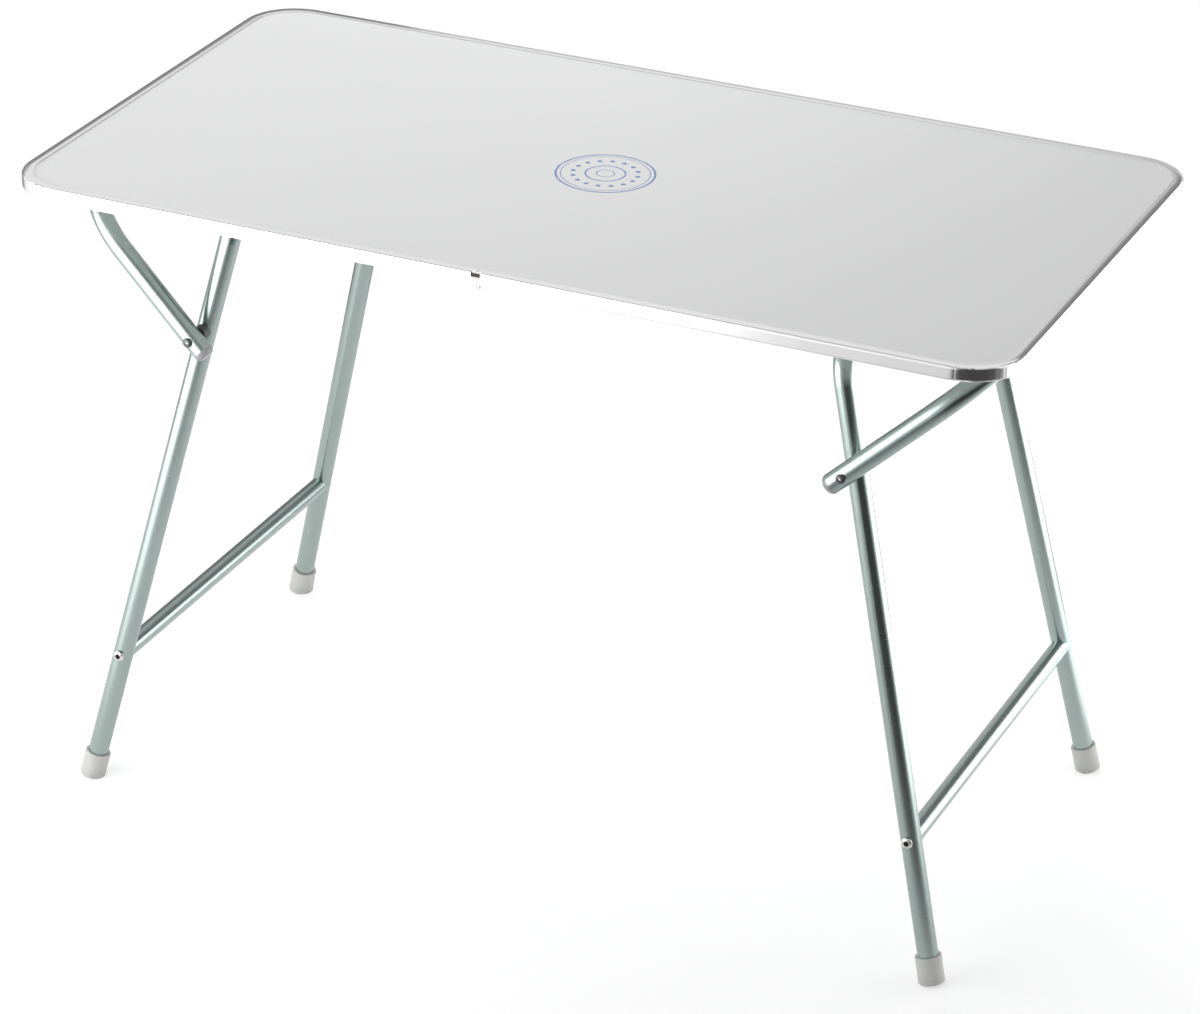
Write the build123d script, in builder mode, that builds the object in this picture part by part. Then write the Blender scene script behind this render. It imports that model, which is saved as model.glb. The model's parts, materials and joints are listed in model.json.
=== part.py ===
"""Folding camping table: a laminated board in an aluminium edge, on two folding tube leg frames.

Each end has a bent-tube leg frame that hinges under the board and a U-shaped tube brace that
turns on rivets through the legs and hooks in under the end of the board.

Millimetres, +Z up. The origin is on the floor under the middle of the board, X runs along the
board, the front of the table faces -Y and the "left" end is at -X.
"""

import os
from math import cos, radians, sin, tan

from build123d import *

os.makedirs("parts", exist_ok=True)

# Board and its edge
TOP_LENGTH = 1100.0
TOP_DEPTH = 600.0
TABLE_HEIGHT = 715.0
CORNER_RADIUS = 60.0
LAMINATE_THICKNESS = 0.8
CORE_THICKNESS = 11.0
BACKING_THICKNESS = 0.6
EDGE_WALL = 1.2
EDGE_LIP = 12.0
EDGE_ROUNDING = 2.5
EDGE_LIP_BREAK = 0.4
EDGE_SEAT_GAP = 0.05
EDGE_JOINT_GAP = 0.8

# Butt joint of the edge, with a clip over its lower part and an open notch above
JOINT_X = -7.0
JOINT_NOTCH_WIDTH = 11.0
JOINT_NOTCH_HEIGHT = 4.5
JOINT_NOTCH_DEPTH = 3.0
JOINT_CLIP_WIDTH = 9.0
JOINT_CLIP_THICKNESS = 0.6
JOINT_CLIP_SOLE = 1.8
JOINT_CLIP_GAP = 0.05
JOINT_CLIP_RETURN = 10.0

# Leg frames
LEG_DIAMETER = 22.0
TUBE_WALL = 1.2
LEG_BEND_RADIUS = 44.0
LEG_LEAN = 13.25
LEG_SPLAY = 5.1
FOOT_INSET = 51.5
FOLDED_GAP = 3.5

# Saddles that carry the hinge tubes
HINGE_CLEARANCE = 0.05
SADDLE_WALL = 3.6
SADDLE_WIDTH = 26.0
SADDLE_FLANGE_THICKNESS = 4.0
SADDLE_FLANGE_LENGTH = 64.0
SADDLE_SCREW_SPACING = 48.0
SADDLE_FILLET = 3.0
SADDLE_BEND_GAP = 2.0

# Crossbars between the legs
CROSSBAR_DIAMETER = 20.0
CROSSBAR_HEIGHT = 154.5
CROSSBAR_PLUG_LENGTH = 28.0
COPE_GAP = 0.05
PLUG_GAP = 0.05

# Braces
BRACE_DIAMETER = 22.0
BRACE_BEND_RADIUS = 100.0
BRACE_LEAN = 47.25
BRACE_PIVOT_HEIGHT = 544.0
BRACE_STANDOFF = 10.0
BRACE_TAIL = 17.0
END_PLUG_DOME = 7.0
END_PLUG_ROUNDING = 6.0
END_PLUG_RIVET_GAP = 2.0

# Spacers and rivets of the brace pivots
RIVET_DIAMETER = 6.0
RIVET_CLEARANCE = 0.05
RIVET_FIT_GAP = 0.02
RIVET_HEAD_DIAMETER = 10.5
RIVET_HEAD_HEIGHT = 2.4
RIVET_BORE_DIAMETER = 3.6
RIVET_BORE_DEPTH = 2.8
RIVET_SEAT_GAP = 0.6
SPACER_DIAMETER = 16.0
SPACER_ARM_GAP = 1.1

# Hooks that hold the cross tubes of the braces
HOOK_CLEARANCE = 0.3
HOOK_WALL = 3.7
HOOK_WIDTH = 24.0
HOOK_OPENING_ANGLE = 53.0
HOOK_BASE_THICKNESS = 3.2
HOOK_TAB_LENGTH = 30.0
HOOK_SCREW_OFFSET = 21.0
HOOK_SCREW_SPACING = 14.0
HOOK_BEND_GAP = 12.0
HOOK_EDGE_GAP = 3.0

# Foot caps
FOOT_DIAMETER = 28.0
FOOT_LENGTH = 30.0
FOOT_FLOOR_THICKNESS = 4.5
FOOT_SOLE_ROUNDING = 2.0
FOOT_RIM_ROUNDING = 0.8
FOOT_SOLE_LIFT = 0.6
FOOT_GAP = 0.05

# Wood screws that hold the saddles and hooks
WOOD_SCREW_DIAMETER = 3.5
WOOD_SCREW_BITE = 8.5
WOOD_SCREW_HEAD_DIAMETER = 7.6
WOOD_SCREW_HEAD_HEIGHT = 2.4
WOOD_SCREW_HOLE_GAP = 0.3
PILOT_GAP = 0.02
PILOT_SPARE_DEPTH = 0.5

# Screws that hold the crossbars
BAR_SCREW_DIAMETER = 4.0
BAR_SCREW_HEAD_DIAMETER = 12.0
BAR_SCREW_HEAD_HEIGHT = 2.6
BAR_SCREW_BITE = 18.0
BAR_SCREW_SEAT_GAP = 0.7
CROSS_RECESS_WIDTH = 0.9
CROSS_RECESS_SHARE = 0.62
CROSS_RECESS_DEPTH = 1.3
SCREW_TIP_LENGTH = 3.0
SCREW_POINT_SHARE = 0.3
HEAD_SIDE_SHARE = 0.3
HEAD_FLAT_SHARE = 0.45

# Levels of the board, from the lip of the edge down
laminate_top = TABLE_HEIGHT - EDGE_WALL
laminate_bottom = laminate_top - LAMINATE_THICKNESS
core_bottom = laminate_bottom - CORE_THICKNESS
board_bottom = core_bottom - BACKING_THICKNESS
edge_bottom = board_bottom - EDGE_WALL

# Radii that fits are worked out from
leg_radius = LEG_DIAMETER / 2
brace_radius = BRACE_DIAMETER / 2
crossbar_radius = CROSSBAR_DIAMETER / 2
rivet_radius = RIVET_DIAMETER / 2
bar_screw_radius = BAR_SCREW_DIAMETER / 2
wood_screw_radius = WOOD_SCREW_DIAMETER / 2

splay_slope = tan(radians(LEG_SPLAY))
corner_tangent = tan(radians((90.0 - LEG_SPLAY) / 2))

# The cross tube of a brace hangs in its hooks, close under the end of the board and clear of the
# edge. From there the arms run down to the rivets, and the legs with the rivets to the floor.
hook_radius = brace_radius + HOOK_CLEARANCE
hook_outer_radius = hook_radius + HOOK_WALL
cross_x = TOP_LENGTH / 2 - EDGE_LIP - HOOK_EDGE_GAP - hook_outer_radius
cross_z = board_bottom - hook_outer_radius
cross_rise = cross_z - BRACE_PIVOT_HEIGHT
pivot_x = cross_x - cross_rise * tan(radians(BRACE_LEAN))
foot_x = pivot_x + BRACE_PIVOT_HEIGHT * tan(radians(LEG_LEAN))
foot_y = TOP_DEPTH / 2 - FOOT_INSET

# The arms stand off the legs by a spacer, and splay as the legs do
arm_offset = leg_radius + BRACE_STANDOFF + brace_radius
arm_length = cross_rise / cos(radians(BRACE_LEAN))
pivot_leg_y = foot_y - BRACE_PIVOT_HEIGHT / cos(radians(LEG_LEAN)) * splay_slope
arm_y = pivot_leg_y + arm_offset
cross_y = arm_y - arm_length * splay_slope
hook_y = cross_y - BRACE_BEND_RADIUS * corner_tangent - HOOK_BEND_GAP - HOOK_WIDTH / 2

crossbar_x = foot_x - CROSSBAR_HEIGHT * tan(radians(LEG_LEAN))
crossbar_leg_y = foot_y - CROSSBAR_HEIGHT / cos(radians(LEG_LEAN)) * splay_slope

# The left frame folds flat under the board with room for its foot caps, and the right frame
# hinges lower by the tubes it passes under
left_pivot_drop = FOOT_DIAMETER / 2 + FOLDED_GAP
right_pivot_drop = left_pivot_drop + leg_radius + brace_radius

SIDES = {"left": -1, "right": 1}
ENDS = {"front": -1, "rear": 1}
PIVOT_DROPS = {"left": left_pivot_drop, "right": right_pivot_drop}


def hinge_height(side_name):
    """Height of a leg frame's hinge tube."""
    return board_bottom - PIVOT_DROPS[side_name]


def hinge_x(side_name):
    """Distance of a leg frame's hinge tube from the middle of the table."""
    return foot_x - hinge_height(side_name) * tan(radians(LEG_LEAN))


def frame_length(side_name):
    """Length of a leg frame along its own plane, from the floor to the hinge tube."""
    return hinge_height(side_name) / cos(radians(LEG_LEAN))


def hinge_half_width(side_name):
    """Half the distance between the legs where their lines reach the hinge tube."""
    return foot_y - frame_length(side_name) * splay_slope


def saddle_y(side_name):
    """Place of the saddles on the straight part of the hinge tube, close to its bends."""
    straight_half = hinge_half_width(side_name) - LEG_BEND_RADIUS * corner_tangent
    return straight_half - SADDLE_BEND_GAP - SADDLE_WIDTH / 2


def frame_plane(side):
    """Plane of a leg frame: its x runs along +Y, its y up the legs, from the floor line."""
    lean = radians(LEG_LEAN)
    return Plane(
        origin=(side * foot_x, 0, 0),
        x_dir=(0, 1, 0),
        z_dir=(cos(lean), 0, side * sin(lean)),
    )


def brace_plane(side):
    """Plane of a brace: its x runs along +Y, its y up the arms, from the rivets."""
    lean = radians(BRACE_LEAN)
    return Plane(
        origin=(side * pivot_x, 0, BRACE_PIVOT_HEIGHT),
        x_dir=(0, 1, 0),
        z_dir=(cos(lean), 0, -side * sin(lean)),
    )


def leg_axis(side, end):
    """Direction of a leg from its foot upwards."""
    lean = radians(LEG_LEAN)
    return Vector(-side * sin(lean), -end * splay_slope, cos(lean)).normalized()


def arm_axis(side, end):
    """Direction of a brace's arm from its rivet towards the cross tube."""
    lean = radians(BRACE_LEAN)
    return Vector(side * sin(lean), -end * splay_slope, cos(lean)).normalized()


def across(x, y, z, direction):
    """Plane at a point whose normal runs along Y, outwards for a direction of +1 or -1."""
    return Plane(origin=(x, y, z), x_dir=(1, 0, 0), z_dir=(0, direction, 0))


def round_plate(length, depth, radius, thickness, bottom, mode=Mode.ADD):
    """Flat plate with rounded corners, added to or cut from the part being built."""
    with BuildSketch(Plane.XY.offset(bottom)) as outline:
        RectangleRounded(length, depth, radius)
    extrude(outline.sketch, amount=thickness, mode=mode)


def board_layer(thickness, bottom):
    """One layer of the board, which fills the inside of the edge channel."""
    inset = EDGE_WALL + EDGE_SEAT_GAP
    round_plate(TOP_LENGTH - 2 * inset, TOP_DEPTH - 2 * inset, CORNER_RADIUS - inset, thickness, bottom)


def cylinder_on(plane, radius, amount, mode=Mode.ADD, both=False):
    """Round bar or hole that starts on a plane and runs along its normal."""
    with BuildSketch(plane) as outline:
        Circle(radius)
    extrude(outline.sketch, amount=amount, both=both, mode=mode)


def bent_tube(plane, points, bend_radius, radius):
    """Hollow tube along straight runs joined by bends, drawn in one plane."""
    with BuildLine(plane) as run:
        FilletPolyline(*points, radius=bend_radius)
    with BuildSketch(Plane(origin=run.line @ 0, z_dir=run.line % 0)) as ring:
        Circle(radius)
        Circle(radius - TUBE_WALL, mode=Mode.SUBTRACT)
    sweep(ring.sketch, path=run.line)


def headed_pin(seat, shank_radius, length, head_radius, head_height, tip_length=0.0):
    """Domed head on a round or pointed shank: the seat's normal points out of the head."""
    side_height = head_height * HEAD_SIDE_SHARE
    crown = (head_radius * HEAD_FLAT_SHARE, head_height)
    end_radius = shank_radius * (SCREW_POINT_SHARE if tip_length else 1.0)
    point = [(end_radius, -length)]
    if tip_length:
        point.append((shank_radius, tip_length - length))
    half_plane = Plane(origin=seat.origin, x_dir=seat.x_dir, z_dir=-seat.y_dir)
    with BuildSketch(half_plane) as profile:
        with BuildLine():
            Polyline((0, -length), *point, (shank_radius, 0), (head_radius, 0), (head_radius, side_height))
            TangentArc(crown, (head_radius, side_height), tangent=(1, 0))
            Polyline(crown, (0, head_height), (0, -length))
        make_face()
    revolve(profile.sketch, axis=Axis(seat.origin, seat.z_dir))


def cross_recess(seat, head_radius, head_height):
    """Cross slot in the head of a screw."""
    reach = 2 * head_radius * CROSS_RECESS_SHARE
    with BuildSketch(seat.offset(head_height)) as cross:
        Rectangle(reach, CROSS_RECESS_WIDTH)
        Rectangle(CROSS_RECESS_WIDTH, reach)
    extrude(cross.sketch, amount=-CROSS_RECESS_DEPTH, mode=Mode.SUBTRACT)


def write_piece(part, label):
    """Name a finished piece and write it to its own file."""
    part.label = label
    export_step(part, f"parts/{label}.step")


def saddle_screw_places(side_name):
    """Points on the underside of the board where the saddles of one end are screwed."""
    side = SIDES[side_name]
    return [
        (side * hinge_x(side_name) + step, end * saddle_y(side_name))
        for end in ENDS.values()
        for step in (-SADDLE_SCREW_SPACING / 2, SADDLE_SCREW_SPACING / 2)
    ]


def hook_screw_places(side_name):
    """Points on the underside of the board where the hooks of one end are screwed."""
    side = SIDES[side_name]
    return [
        (side * (cross_x - HOOK_SCREW_OFFSET), end * hook_y + step)
        for end in ENDS.values()
        for step in (-HOOK_SCREW_SPACING / 2, HOOK_SCREW_SPACING / 2)
    ]


def pilot_holes(bottom, depth):
    """Holes for all the wood screws, cut up into a layer of the board."""
    places = [
        place
        for side_name in SIDES
        for place in saddle_screw_places(side_name) + hook_screw_places(side_name)
    ]
    with BuildSketch(Plane.XY.offset(bottom)) as holes:
        with Locations(*places):
            Circle(wood_screw_radius + PILOT_GAP)
    extrude(holes.sketch, amount=depth, mode=Mode.SUBTRACT)


# ---------------------------------------------------------------- the board

with BuildPart() as top_laminate:
    board_layer(LAMINATE_THICKNESS, laminate_bottom)
write_piece(top_laminate.part, "top_laminate")

with BuildPart() as board_core:
    board_layer(CORE_THICKNESS, core_bottom)
    pilot_holes(core_bottom, WOOD_SCREW_BITE - BACKING_THICKNESS + PILOT_SPARE_DEPTH)
write_piece(board_core.part, "board_core")

with BuildPart() as bottom_laminate:
    board_layer(BACKING_THICKNESS, board_bottom)
    pilot_holes(board_bottom, BACKING_THICKNESS)
write_piece(bottom_laminate.part, "bottom_laminate")

with BuildPart() as edge_profile:
    round_plate(TOP_LENGTH, TOP_DEPTH, CORNER_RADIUS, TABLE_HEIGHT - edge_bottom, edge_bottom)
    faces = edge_profile.faces()
    rims = faces.sort_by(Axis.Z)[-1].edges() + faces.sort_by(Axis.Z)[0].edges()
    fillet(rims, radius=EDGE_ROUNDING)
    round_plate(
        TOP_LENGTH - 2 * EDGE_WALL,
        TOP_DEPTH - 2 * EDGE_WALL,
        CORNER_RADIUS - EDGE_WALL,
        laminate_top - board_bottom,
        board_bottom,
        mode=Mode.SUBTRACT,
    )
    round_plate(
        TOP_LENGTH - 2 * EDGE_LIP,
        TOP_DEPTH - 2 * EDGE_LIP,
        CORNER_RADIUS - EDGE_LIP,
        TABLE_HEIGHT - edge_bottom,
        edge_bottom,
        mode=Mode.SUBTRACT,
    )
    top_face = edge_profile.faces().sort_by(Axis.Z)[-1]
    bottom_face = edge_profile.faces().sort_by(Axis.Z)[0]
    chamfer(top_face.inner_wires()[0].edges() + bottom_face.inner_wires()[0].edges(), EDGE_LIP_BREAK)
    with BuildSketch(Plane.XZ.offset(TOP_DEPTH / 2 - 2 * EDGE_LIP)):
        with Locations((JOINT_X, (TABLE_HEIGHT + edge_bottom) / 2)):
            Rectangle(EDGE_JOINT_GAP, 2 * (TABLE_HEIGHT - edge_bottom))
    extrude(amount=3 * EDGE_LIP, mode=Mode.SUBTRACT)
    with BuildSketch(Plane.XZ.offset(TOP_DEPTH / 2 - JOINT_NOTCH_DEPTH)):
        with Locations((JOINT_X, TABLE_HEIGHT)):
            Rectangle(JOINT_NOTCH_WIDTH, 2 * JOINT_NOTCH_HEIGHT)
    extrude(amount=2 * JOINT_NOTCH_DEPTH, mode=Mode.SUBTRACT)
write_piece(edge_profile.part, "edge_profile")

with BuildPart() as edge_joint_clip:
    clip_inner = -TOP_DEPTH / 2 - JOINT_CLIP_GAP
    clip_outer = clip_inner - JOINT_CLIP_THICKNESS
    clip_top = TABLE_HEIGHT - JOINT_NOTCH_HEIGHT
    clip_floor = edge_bottom - JOINT_CLIP_GAP
    with BuildSketch(Plane.YZ.offset(JOINT_X - JOINT_CLIP_WIDTH / 2)):
        with BuildLine():
            Polyline(
                (clip_inner, clip_top),
                (clip_outer, clip_top),
                (clip_outer, clip_floor - JOINT_CLIP_SOLE / 2),
                (clip_outer + JOINT_CLIP_SOLE / 2, clip_floor - JOINT_CLIP_SOLE),
                (clip_outer + JOINT_CLIP_RETURN, clip_floor - JOINT_CLIP_SOLE),
                (clip_outer + JOINT_CLIP_RETURN, clip_floor),
                (clip_inner, clip_floor),
                close=True,
            )
        make_face()
    extrude(amount=JOINT_CLIP_WIDTH)
write_piece(edge_joint_clip.part, "edge_joint_clip")

# ------------------------------------------------- saddles, hooks and their screws

for side_name, side in SIDES.items():
    axis_x = side * hinge_x(side_name)
    axis_z = hinge_height(side_name)
    boss_radius = leg_radius + HINGE_CLEARANCE + SADDLE_WALL
    for end_name, end in ENDS.items():
        face_y = end * saddle_y(side_name) + SADDLE_WIDTH / 2
        with BuildPart() as saddle:
            with BuildSketch(Plane.XZ.offset(-face_y)):
                with Locations((axis_x, board_bottom - SADDLE_FLANGE_THICKNESS / 2)):
                    Rectangle(SADDLE_FLANGE_LENGTH, SADDLE_FLANGE_THICKNESS)
                with Locations((axis_x, (board_bottom + axis_z) / 2)):
                    Rectangle(2 * boss_radius, board_bottom - axis_z)
                with Locations((axis_x, axis_z)):
                    Circle(boss_radius)
                    Circle(leg_radius + HINGE_CLEARANCE, mode=Mode.SUBTRACT)
            extrude(amount=SADDLE_WIDTH)
            roots = saddle.edges().filter_by(Axis.Y).filter_by_position(
                Axis.Z,
                board_bottom - SADDLE_FLANGE_THICKNESS - 0.01,
                board_bottom - SADDLE_FLANGE_THICKNESS + 0.01,
            )
            inner_roots = [edge for edge in roots if abs(edge.center().X - axis_x) < boss_radius + 0.01]
            fillet(inner_roots, radius=SADDLE_FILLET)
            flange_corners = saddle.edges().filter_by(Axis.Z).filter_by_position(
                Axis.Z, board_bottom - SADDLE_FLANGE_THICKNESS, board_bottom
            )
            fillet(flange_corners, radius=SADDLE_FILLET)
            with BuildSketch(Plane.XY.offset(board_bottom)):
                with Locations(*saddle_screw_places(side_name)):
                    Circle(wood_screw_radius + WOOD_SCREW_HOLE_GAP)
            extrude(amount=-SADDLE_FLANGE_THICKNESS, mode=Mode.SUBTRACT)
        write_piece(saddle.part, f"{side_name}_{end_name}_saddle")

    with BuildPart() as saddle_screws:
        for place in saddle_screw_places(side_name):
            seat = Plane(
                origin=(*place, board_bottom - SADDLE_FLANGE_THICKNESS),
                x_dir=(1, 0, 0),
                z_dir=(0, 0, -1),
            )
            headed_pin(
                seat,
                wood_screw_radius,
                SADDLE_FLANGE_THICKNESS + WOOD_SCREW_BITE,
                WOOD_SCREW_HEAD_DIAMETER / 2,
                WOOD_SCREW_HEAD_HEIGHT,
                SCREW_TIP_LENGTH,
            )
            cross_recess(seat, WOOD_SCREW_HEAD_DIAMETER / 2, WOOD_SCREW_HEAD_HEIGHT)
    write_piece(saddle_screws.part, f"{side_name}_saddle_screws")

    # A hook is a half ring round the cross tube, closed on the outside and open towards the
    # middle of the table and down, the way the tube leaves when the legs fold in.
    tab_x = side * (cross_x - HOOK_TAB_LENGTH)
    outer_x = side * (cross_x + hook_outer_radius)
    opening = radians(HOOK_OPENING_ANGLE)
    open_x = -side * cos(opening)
    open_z = -sin(opening)
    for end_name, end in ENDS.items():
        face_y = end * hook_y + HOOK_WIDTH / 2
        cut_length = 3 * hook_outer_radius
        with BuildPart() as hook:
            with BuildSketch(Plane.XZ.offset(-face_y)):
                with Locations((side * cross_x, cross_z)):
                    Circle(hook_outer_radius)
                with Locations(((side * cross_x + outer_x) / 2, (cross_z + board_bottom) / 2)):
                    Rectangle(hook_outer_radius, board_bottom - cross_z)
                with Locations(((tab_x + outer_x) / 2, board_bottom - HOOK_BASE_THICKNESS / 2)):
                    Rectangle(abs(outer_x - tab_x), HOOK_BASE_THICKNESS)
                with Locations((side * cross_x, cross_z)):
                    Circle(hook_radius, mode=Mode.SUBTRACT)
                opening_centre = (
                    side * cross_x + open_x * cut_length / 2,
                    cross_z + open_z * cut_length / 2,
                )
                with Locations(Location((*opening_centre, 0), (0, 0, side * HOOK_OPENING_ANGLE))):
                    Rectangle(cut_length, 2 * hook_radius, mode=Mode.SUBTRACT)
            extrude(amount=HOOK_WIDTH)
            with BuildSketch(Plane.XY.offset(board_bottom)):
                with Locations(*hook_screw_places(side_name)):
                    Circle(wood_screw_radius + WOOD_SCREW_HOLE_GAP)
            extrude(amount=-HOOK_BASE_THICKNESS, mode=Mode.SUBTRACT)
        write_piece(hook.part, f"{side_name}_{end_name}_hook")

    with BuildPart() as hook_screws:
        for place in hook_screw_places(side_name):
            seat = Plane(
                origin=(*place, board_bottom - HOOK_BASE_THICKNESS),
                x_dir=(1, 0, 0),
                z_dir=(0, 0, -1),
            )
            headed_pin(
                seat,
                wood_screw_radius,
                HOOK_BASE_THICKNESS + WOOD_SCREW_BITE,
                WOOD_SCREW_HEAD_DIAMETER / 2,
                WOOD_SCREW_HEAD_HEIGHT,
                SCREW_TIP_LENGTH,
            )
            cross_recess(seat, WOOD_SCREW_HEAD_DIAMETER / 2, WOOD_SCREW_HEAD_HEIGHT)
    write_piece(hook_screws.part, f"{side_name}_hook_screws")

# ------------------------------------------------------------ leg frames

for side_name, side in SIDES.items():
    # The tubes stop on the floors of their foot caps
    leg_start = FOOT_SOLE_LIFT + FOOT_FLOOR_THICKNESS
    length = frame_length(side_name)
    with BuildPart() as leg_frame:
        start_v = leg_start * cos(radians(LEG_SPLAY))
        start_u = foot_y - start_v * splay_slope
        bent_tube(
            frame_plane(side),
            [
                (-start_u, start_v),
                (-hinge_half_width(side_name), length),
                (hinge_half_width(side_name), length),
                (start_u, start_v),
            ],
            LEG_BEND_RADIUS,
            leg_radius,
        )
        for end in ENDS.values():
            bar_hole = across(side * crossbar_x, end * crossbar_leg_y, CROSSBAR_HEIGHT, end)
            cylinder_on(bar_hole, bar_screw_radius + PILOT_GAP, LEG_DIAMETER, Mode.SUBTRACT, both=True)
            rivet_hole = across(side * pivot_x, end * pivot_leg_y, BRACE_PIVOT_HEIGHT, end)
            cylinder_on(rivet_hole, rivet_radius + RIVET_FIT_GAP, LEG_DIAMETER, Mode.SUBTRACT, both=True)
    write_piece(leg_frame.part, f"{side_name}_leg_frame")

    with BuildPart() as crossbar:
        bar_start = across(side * crossbar_x, -crossbar_leg_y, CROSSBAR_HEIGHT, 1)
        with BuildSketch(bar_start):
            Circle(crossbar_radius)
            Circle(crossbar_radius - TUBE_WALL, mode=Mode.SUBTRACT)
        extrude(amount=2 * crossbar_leg_y)
        for end in ENDS.values():
            leg_here = Plane(
                origin=(side * crossbar_x, end * crossbar_leg_y, CROSSBAR_HEIGHT),
                z_dir=leg_axis(side, end),
            )
            cylinder_on(leg_here, leg_radius + COPE_GAP, CROSSBAR_DIAMETER, Mode.SUBTRACT, both=True)
    write_piece(crossbar.part, f"{side_name}_crossbar")

    for end_name, end in ENDS.items():
        leg_here = Plane(
            origin=(side * crossbar_x, end * crossbar_leg_y, CROSSBAR_HEIGHT),
            z_dir=leg_axis(side, end),
        )
        with BuildPart() as bar_plug:
            inner = across(side * crossbar_x, end * crossbar_leg_y, CROSSBAR_HEIGHT, -end)
            cylinder_on(inner, crossbar_radius - TUBE_WALL - PLUG_GAP, leg_radius + CROSSBAR_PLUG_LENGTH)
            cylinder_on(leg_here, leg_radius + COPE_GAP, CROSSBAR_DIAMETER, Mode.SUBTRACT, both=True)
            cylinder_on(
                inner,
                bar_screw_radius + PILOT_GAP,
                leg_radius + BAR_SCREW_BITE + PILOT_SPARE_DEPTH,
                Mode.SUBTRACT,
            )
        write_piece(bar_plug.part, f"{side_name}_crossbar_{end_name}_plug")

    with BuildPart() as crossbar_screws:
        for end in ENDS.values():
            head_y = end * (crossbar_leg_y + leg_radius + BAR_SCREW_SEAT_GAP)
            seat = across(side * crossbar_x, head_y, CROSSBAR_HEIGHT, end)
            headed_pin(
                seat,
                bar_screw_radius,
                LEG_DIAMETER + BAR_SCREW_SEAT_GAP + BAR_SCREW_BITE,
                BAR_SCREW_HEAD_DIAMETER / 2,
                BAR_SCREW_HEAD_HEIGHT,
                SCREW_TIP_LENGTH,
            )
            cross_recess(seat, BAR_SCREW_HEAD_DIAMETER / 2, BAR_SCREW_HEAD_HEIGHT)
    write_piece(crossbar_screws.part, f"{side_name}_crossbar_screws")

    for end_name, end in ENDS.items():
        foot_point = Vector(side * foot_x, end * foot_y, 0)
        axis = leg_axis(side, end)
        sole = Plane(origin=foot_point + axis * FOOT_SOLE_LIFT, z_dir=axis)
        with BuildPart() as foot:
            cylinder_on(sole, FOOT_DIAMETER / 2, FOOT_LENGTH)
            ends_by_height = foot.edges().filter_by(GeomType.CIRCLE).sort_by(Axis(sole.origin, axis))
            fillet(ends_by_height[0], radius=FOOT_SOLE_ROUNDING)
            ends_by_height = foot.edges().filter_by(GeomType.CIRCLE).sort_by(Axis(sole.origin, axis))
            fillet(ends_by_height[-1], radius=FOOT_RIM_ROUNDING)
            cylinder_on(sole.offset(FOOT_FLOOR_THICKNESS), leg_radius + FOOT_GAP, FOOT_LENGTH, Mode.SUBTRACT)
            # The sole is moulded flat where it stands on the floor
            with BuildSketch(Plane(origin=(foot_point.X, foot_point.Y, 0))):
                Circle(FOOT_DIAMETER)
            extrude(amount=-FOOT_DIAMETER, mode=Mode.SUBTRACT)
        write_piece(foot.part, f"{side_name}_{end_name}_foot")

    for end_name, end in ENDS.items():
        leg_here = Plane(
            origin=(side * pivot_x, end * pivot_leg_y, BRACE_PIVOT_HEIGHT),
            z_dir=leg_axis(side, end),
        )
        with BuildPart() as spacer:
            outward = across(side * pivot_x, end * pivot_leg_y, BRACE_PIVOT_HEIGHT, end)
            spacer_reach = leg_radius + BRACE_STANDOFF - SPACER_ARM_GAP
            cylinder_on(outward, SPACER_DIAMETER / 2, spacer_reach)
            cylinder_on(leg_here, leg_radius + COPE_GAP, SPACER_DIAMETER, Mode.SUBTRACT, both=True)
            cylinder_on(outward, rivet_radius + RIVET_CLEARANCE, spacer_reach, Mode.SUBTRACT)
        write_piece(spacer.part, f"{side_name}_{end_name}_spacer")

    with BuildPart() as brace_rivets:
        for end in ENDS.values():
            outer_seat_y = end * (pivot_leg_y + arm_offset + brace_radius + RIVET_SEAT_GAP)
            inner_seat_y = end * (pivot_leg_y - leg_radius - RIVET_SEAT_GAP)
            outer_seat = across(side * pivot_x, outer_seat_y, BRACE_PIVOT_HEIGHT, end)
            inner_seat = across(side * pivot_x, inner_seat_y, BRACE_PIVOT_HEIGHT, -end)
            shank_length = abs(outer_seat_y - inner_seat_y)
            for seat in (outer_seat, inner_seat):
                headed_pin(seat, rivet_radius, shank_length, RIVET_HEAD_DIAMETER / 2, RIVET_HEAD_HEIGHT)
            for seat in (outer_seat, inner_seat):
                rim = seat.offset(RIVET_HEAD_HEIGHT)
                cylinder_on(rim, RIVET_BORE_DIAMETER / 2, -RIVET_BORE_DEPTH, Mode.SUBTRACT)
    write_piece(brace_rivets.part, f"{side_name}_brace_rivets")

# ------------------------------------------------------------ braces

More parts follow.
